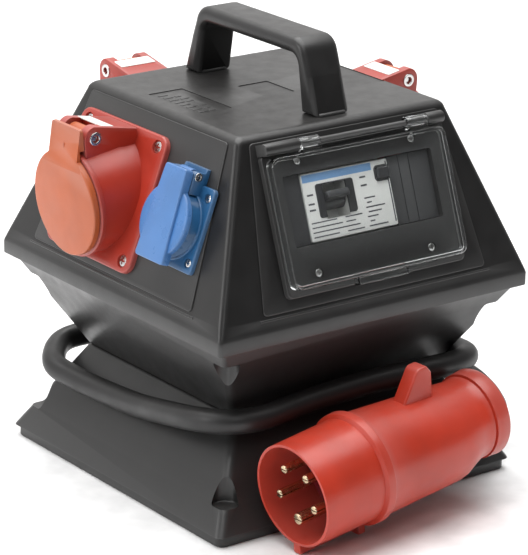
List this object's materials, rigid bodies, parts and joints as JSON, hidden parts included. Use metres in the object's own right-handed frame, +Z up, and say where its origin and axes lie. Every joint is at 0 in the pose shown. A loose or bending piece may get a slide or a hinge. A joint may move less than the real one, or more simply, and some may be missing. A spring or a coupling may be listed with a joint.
{
  "type": "portable power distribution box",
  "caption": "Portable power distribution box: a black hood on a flared foot, with a carrying handle, lidded sockets, a clear breaker window and a lead with a plug wound round its waist.",
  "frame": {"origin": "centre of the base plate's underside", "axes": "+Z up, -Y out of the side with the breaker window, +X to the right seen from that side"},
  "size_m": [0.2951, 0.3403, 0.3135],
  "materials": {
    "black_plastic": "moulded satin",
    "black_rubber": "matte",
    "red_plastic": "satin moulded",
    "blue_plastic": "satin moulded",
    "pin_steel": "bright zinc",
    "device_grey": "matte",
    "control_grey": "matte",
    "clear_cover": "clear polycarbonate"
  },
  "bodies": {
    "housing": {"base_plate": "black_plastic", "foot_skirt": "black_plastic", "lower_tray": "black_plastic", "upper_housing": "black_plastic", "handle": "black_plastic", "window_frame": "black_plastic", "cable_gland": "black_plastic", "gland_nut": "black_plastic", "left_cee_body": "red_plastic", "left_cee_insert": "red_plastic", "left_cee_hinge_pin": "pin_steel", "rear_cee_body": "red_plastic", "rear_cee_insert": "red_plastic", "rear_cee_hinge_pin": "pin_steel", "right_cee_body": "red_plastic", "right_cee_insert": "red_plastic", "right_cee_hinge_pin": "pin_steel", "left_schuko_body": "blue_plastic", "left_schuko_insert": "blue_plastic", "left_schuko_hinge_pin": "pin_steel", "rear_schuko_body": "blue_plastic", "rear_schuko_insert": "blue_plastic", "rear_schuko_hinge_pin": "pin_steel", "window_hinge_pin": "pin_steel", "din_rail": "pin_steel", "rcd_body": "device_grey", "terminal_block": "device_grey", "blanking_strip_left": "control_grey", "blanking_strip_right": "control_grey", "lead": "black_rubber", "plug_gland_nut": "black_rubber", "plug_shroud": "red_plastic", "plug_body": "red_plastic", "plug_contact_carrier": "red_plastic"},
    "window_cover": {"window_cover": "clear_cover"},
    "left_cee_lid": {"left_cee_lid": "red_plastic"},
    "rear_cee_lid": {"rear_cee_lid": "red_plastic"},
    "right_cee_lid": {"right_cee_lid": "red_plastic"},
    "left_schuko_lid": {"left_schuko_lid": "blue_plastic"},
    "rear_schuko_lid": {"rear_schuko_lid": "blue_plastic"},
    "rcd_toggle": {"rcd_toggle": "control_grey"},
    "rcd_test_button": {"rcd_test_button": "control_grey"}
  },
  "joints": [
    {"name": "window_cover_hinge", "type": "hinge", "parent": "housing", "child": "window_cover", "pos_m": [0, -0.09765, 0.25716], "axis": [-1, 0, 0], "range_deg": [0, 110]},
    {"name": "left_cee_lid_hinge", "type": "hinge", "parent": "housing", "child": "left_cee_lid", "pos_m": [-0.13174, 0.0265, 0.24804], "axis": [0, 1, 0], "range_deg": [0, 105], "stiffness_Nm_per_rad": 0.06, "springref_deg": -34.38},
    {"name": "rear_cee_lid_hinge", "type": "hinge", "parent": "housing", "child": "rear_cee_lid", "pos_m": [-0.026, 0.12928, 0.25459], "axis": [1, 0, 0], "range_deg": [0, 105], "stiffness_Nm_per_rad": 0.06, "springref_deg": -34.38},
    {"name": "right_cee_lid_hinge", "type": "hinge", "parent": "housing", "child": "right_cee_lid", "pos_m": [0.13104, 0.0225, 0.24991], "axis": [0, -1, 0], "range_deg": [0, 105], "stiffness_Nm_per_rad": 0.06, "springref_deg": -34.38},
    {"name": "left_schuko_lid_hinge", "type": "hinge", "parent": "housing", "child": "left_schuko_lid", "pos_m": [-0.10598, -0.0587, 0.23786], "axis": [0, 1, 0], "range_deg": [0, 100], "stiffness_Nm_per_rad": 0.03, "springref_deg": -28.65},
    {"name": "rear_schuko_lid_hinge", "type": "hinge", "parent": "housing", "child": "rear_schuko_lid", "pos_m": [0.058, 0.10598, 0.23786], "axis": [1, 0, 0], "range_deg": [0, 100], "stiffness_Nm_per_rad": 0.03, "springref_deg": -28.65},
    {"name": "rcd_toggle_pivot", "type": "hinge", "parent": "housing", "child": "rcd_toggle", "pos_m": [-0.021, -0.09909, 0.21443], "axis": [1, 0, 0], "range_deg": [0, 44]},
    {"name": "rcd_test_button_press", "type": "slide", "parent": "housing", "child": "rcd_test_button", "axis": [0, 0.936, -0.352], "range_m": [0, 0.002], "stiffness_N_per_m": 400}
  ]
}
